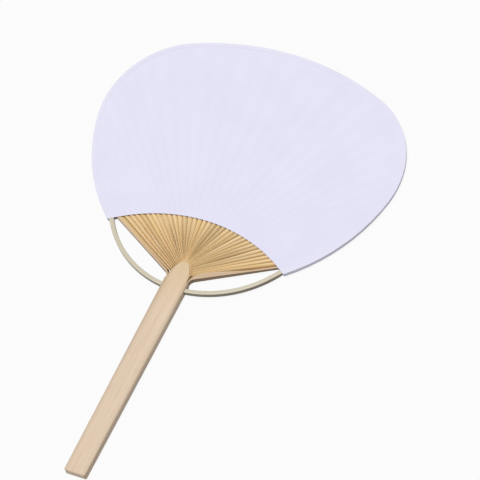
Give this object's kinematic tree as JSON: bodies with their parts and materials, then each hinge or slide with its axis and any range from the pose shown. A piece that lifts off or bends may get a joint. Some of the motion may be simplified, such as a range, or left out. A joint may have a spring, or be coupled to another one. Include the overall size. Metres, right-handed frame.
{
  "type": "uchiwa fan",
  "caption": "Flat paddle fan: a bamboo handle split into thin ribs that spread between two sheets of white paper, with a bent bow through the handle.",
  "frame": {"origin": "the middle of the bounding box in X and Y, on the plane that the underside of the handle rests on", "axes": "+Y runs along the handle from its butt to the top of the paper, +X is to the right as seen from the front sheet, and +Z is out of the front sheet"},
  "size_m": [0.2452, 0.3751, 0.0058],
  "materials": {
    "handle_bamboo": "satin",
    "rib_bamboo": "satin",
    "guard_bamboo": "satin",
    "bow_bamboo": "satin",
    "paper": "matte",
    "binding": "matte"
  },
  "bodies": {
    "root": {"handle": "handle_bamboo", "bow": "bow_bamboo", "rib_01": "guard_bamboo", "rib_02": "rib_bamboo", "rib_03": "rib_bamboo", "rib_04": "rib_bamboo", "rib_05": "rib_bamboo", "rib_06": "rib_bamboo", "rib_07": "rib_bamboo", "rib_08": "rib_bamboo", "rib_09": "rib_bamboo", "rib_10": "rib_bamboo", "rib_11": "rib_bamboo", "rib_12": "rib_bamboo", "rib_13": "rib_bamboo", "rib_14": "rib_bamboo", "rib_15": "rib_bamboo", "rib_16": "rib_bamboo", "rib_17": "rib_bamboo", "rib_18": "rib_bamboo", "rib_19": "rib_bamboo", "rib_20": "rib_bamboo", "rib_21": "rib_bamboo", "rib_22": "rib_bamboo", "rib_23": "rib_bamboo", "rib_24": "rib_bamboo", "rib_25": "rib_bamboo", "rib_26": "rib_bamboo", "rib_27": "rib_bamboo", "rib_28": "rib_bamboo", "rib_29": "rib_bamboo", "rib_30": "rib_bamboo", "rib_31": "rib_bamboo", "rib_32": "rib_bamboo", "rib_33": "rib_bamboo", "rib_34": "rib_bamboo", "rib_35": "rib_bamboo", "rib_36": "guard_bamboo", "back_paper": "paper", "front_paper": "paper", "edge_binding": "binding"}
  },
  "joints": []
}
